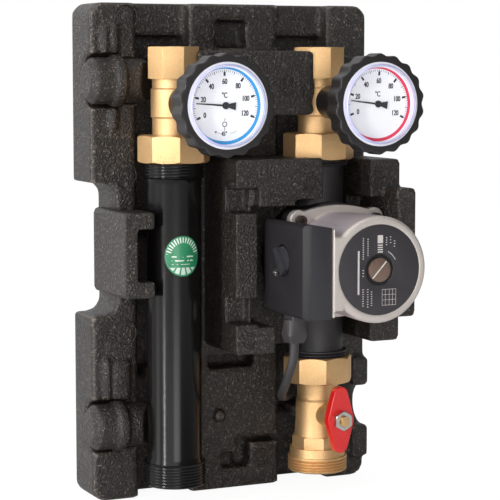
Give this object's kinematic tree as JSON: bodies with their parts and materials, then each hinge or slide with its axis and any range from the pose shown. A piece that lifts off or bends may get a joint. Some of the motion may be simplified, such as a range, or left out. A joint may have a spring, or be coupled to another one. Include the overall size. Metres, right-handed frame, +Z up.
{
  "type": "heating circuit pump group",
  "caption": "Wall-hung pump group for an underfloor or radiator heating circuit: return line with check valve, flow line with circulator, thermometer ball valves, in an open rear foam shell.",
  "frame": {"origin": "on the wall face of the rear foam shell, midway between the two pipe lines and level with the lower connection faces", "axes": "+X to the right along the wall, +Y backwards into the wall, +Z up along the pipe lines"},
  "size_m": [0.2455, 0.1747, 0.39],
  "materials": {
    "foam": "expanded polypropylene foam, fine moulded bead texture",
    "brass": "shot-blasted brass, matt",
    "chromed_brass": "polished chrome on brass",
    "seat_ring": "white fluoropolymer",
    "handle_black": "black glass-filled nylon",
    "case_white": "white moulded plastic",
    "dial_white": "printed white card",
    "dial_glass": "clear moulded lens",
    "pointer_black": "black painted pointer",
    "red_vinyl": "glossy red enamel",
    "zinc": "bright zinc plated steel",
    "gasket": "fibre gasket",
    "black_pipe": "black satin varnished steel pipe",
    "check_plastic": "moulded acetal",
    "spring_steel": "spring steel",
    "cast_iron_black": "black coated cast iron",
    "impeller_plastic": "moulded composite",
    "shaft_ceramic": "ceramic",
    "rotor_steel": "stainless sleeve",
    "can_steel": "drawn stainless steel",
    "stator_copper": "varnished laminations and copper",
    "cast_aluminium": "die-cast aluminium, fine blasted",
    "nameplate_grey": "dark grey foil",
    "vent_brass": "brown-grey plated plug",
    "terminal_grey": "blue-grey moulded plastic",
    "terminal_lid_grey": "dark grey moulded plastic",
    "gland_grey": "grey moulded plastic",
    "cable_grey": "grey sheathed cable"
  },
  "bodies": {
    "group": {"cable_coil": "cable_grey", "cable_gland": "gland_grey", "cable_tube": "cable_grey", "check_cage": "check_plastic", "check_spring": "spring_steel", "flow_union_nut": "brass", "flow_valve_body": "brass", "flow_valve_seats": "seat_ring", "lid_screw": "zinc", "lower_side_plug": "foam", "lower_union_nut": "brass", "lower_valve_body": "brass", "lower_valve_seats": "seat_ring", "motor_housing": "cast_aluminium", "motor_screws": "zinc", "nameplate": "nameplate_grey", "pipe_clip": "foam", "pump_cradle_left": "foam", "pump_cradle_right": "foam", "pump_volute": "cast_iron_black", "rear_shell": "foam", "return_pipe": "black_pipe", "return_union_nut": "brass", "return_valve_body": "brass", "return_valve_seats": "seat_ring", "rotor_can": "can_steel", "shaft_bearings": "shaft_ceramic", "stator": "stator_copper", "terminal_base": "terminal_grey", "terminal_lid": "terminal_lid_grey", "union_gaskets": "gasket", "upper_side_plug": "foam", "valve_bridge": "foam", "vent_plug": "vent_brass"},
    "return_handle_body": {"return_handle": "handle_black", "return_thermometer_case": "case_white", "return_dial": "dial_white", "return_glass": "dial_glass", "return_valve_stem": "brass", "return_valve_ball": "chromed_brass"},
    "flow_handle_body": {"flow_handle": "handle_black", "flow_thermometer_case": "case_white", "flow_dial": "dial_white", "flow_glass": "dial_glass", "flow_valve_stem": "brass", "flow_valve_ball": "chromed_brass"},
    "return_pointer_body": {"return_pointer": "pointer_black"},
    "flow_pointer_body": {"flow_pointer": "pointer_black"},
    "lower_handle_body": {"butterfly_handle": "red_vinyl", "handle_nut": "zinc", "lower_valve_stem": "brass", "lower_valve_ball": "chromed_brass"},
    "check_poppet_body": {"check_poppet": "check_plastic"},
    "pump_rotor_body": {"impeller": "impeller_plastic", "pump_shaft": "shaft_ceramic", "pump_rotor": "rotor_steel"},
    "speed_knob_body": {"speed_knob": "terminal_lid_grey"}
  },
  "joints": [
    {"name": "return_handle_turn", "type": "hinge", "parent": "group", "child": "return_handle_body", "pos_m": [-0.0625, -0.0705, 0.297], "axis": [0, 1, 0], "range_deg": [0, 90]},
    {"name": "flow_handle_turn", "type": "hinge", "parent": "group", "child": "flow_handle_body", "pos_m": [0.0625, -0.0705, 0.297], "axis": [0, 1, 0], "range_deg": [0, 90]},
    {"name": "return_pointer_turn", "type": "hinge", "parent": "return_handle_body", "child": "return_pointer_body", "pos_m": [-0.0625, -0.1694, 0.297], "axis": [0, 1, 0], "range_deg": [-26, 198], "stiffness_Nm_per_rad": 0.0005},
    {"name": "flow_pointer_turn", "type": "hinge", "parent": "flow_handle_body", "child": "flow_pointer_body", "pos_m": [0.0625, -0.1694, 0.297], "axis": [0, 1, 0], "range_deg": [-29, 195], "stiffness_Nm_per_rad": 0.0005},
    {"name": "lower_handle_turn", "type": "hinge", "parent": "group", "child": "lower_handle_body", "pos_m": [0.0625, -0.0705, 0.047], "axis": [0, 1, 0], "range_deg": [0, 90]},
    {"name": "check_poppet_slide", "type": "slide", "parent": "group", "child": "check_poppet_body", "axis": [0, 0, 1], "range_m": [-0.007, 0], "stiffness_N_per_m": 120, "springref_m": 0.002, "deforming": ["check_spring"]},
    {"name": "pump_rotor_spin", "type": "hinge", "parent": "group", "child": "pump_rotor_body", "pos_m": [0.0625, -0.13, 0.1725], "axis": [0, 1, 0], "continuous": true},
    {"name": "speed_knob_turn", "type": "hinge", "parent": "group", "child": "speed_knob_body", "pos_m": [0.001, -0.132, 0.1785], "axis": [1, 0, 0], "range_deg": [-50, 50]}
  ]
}
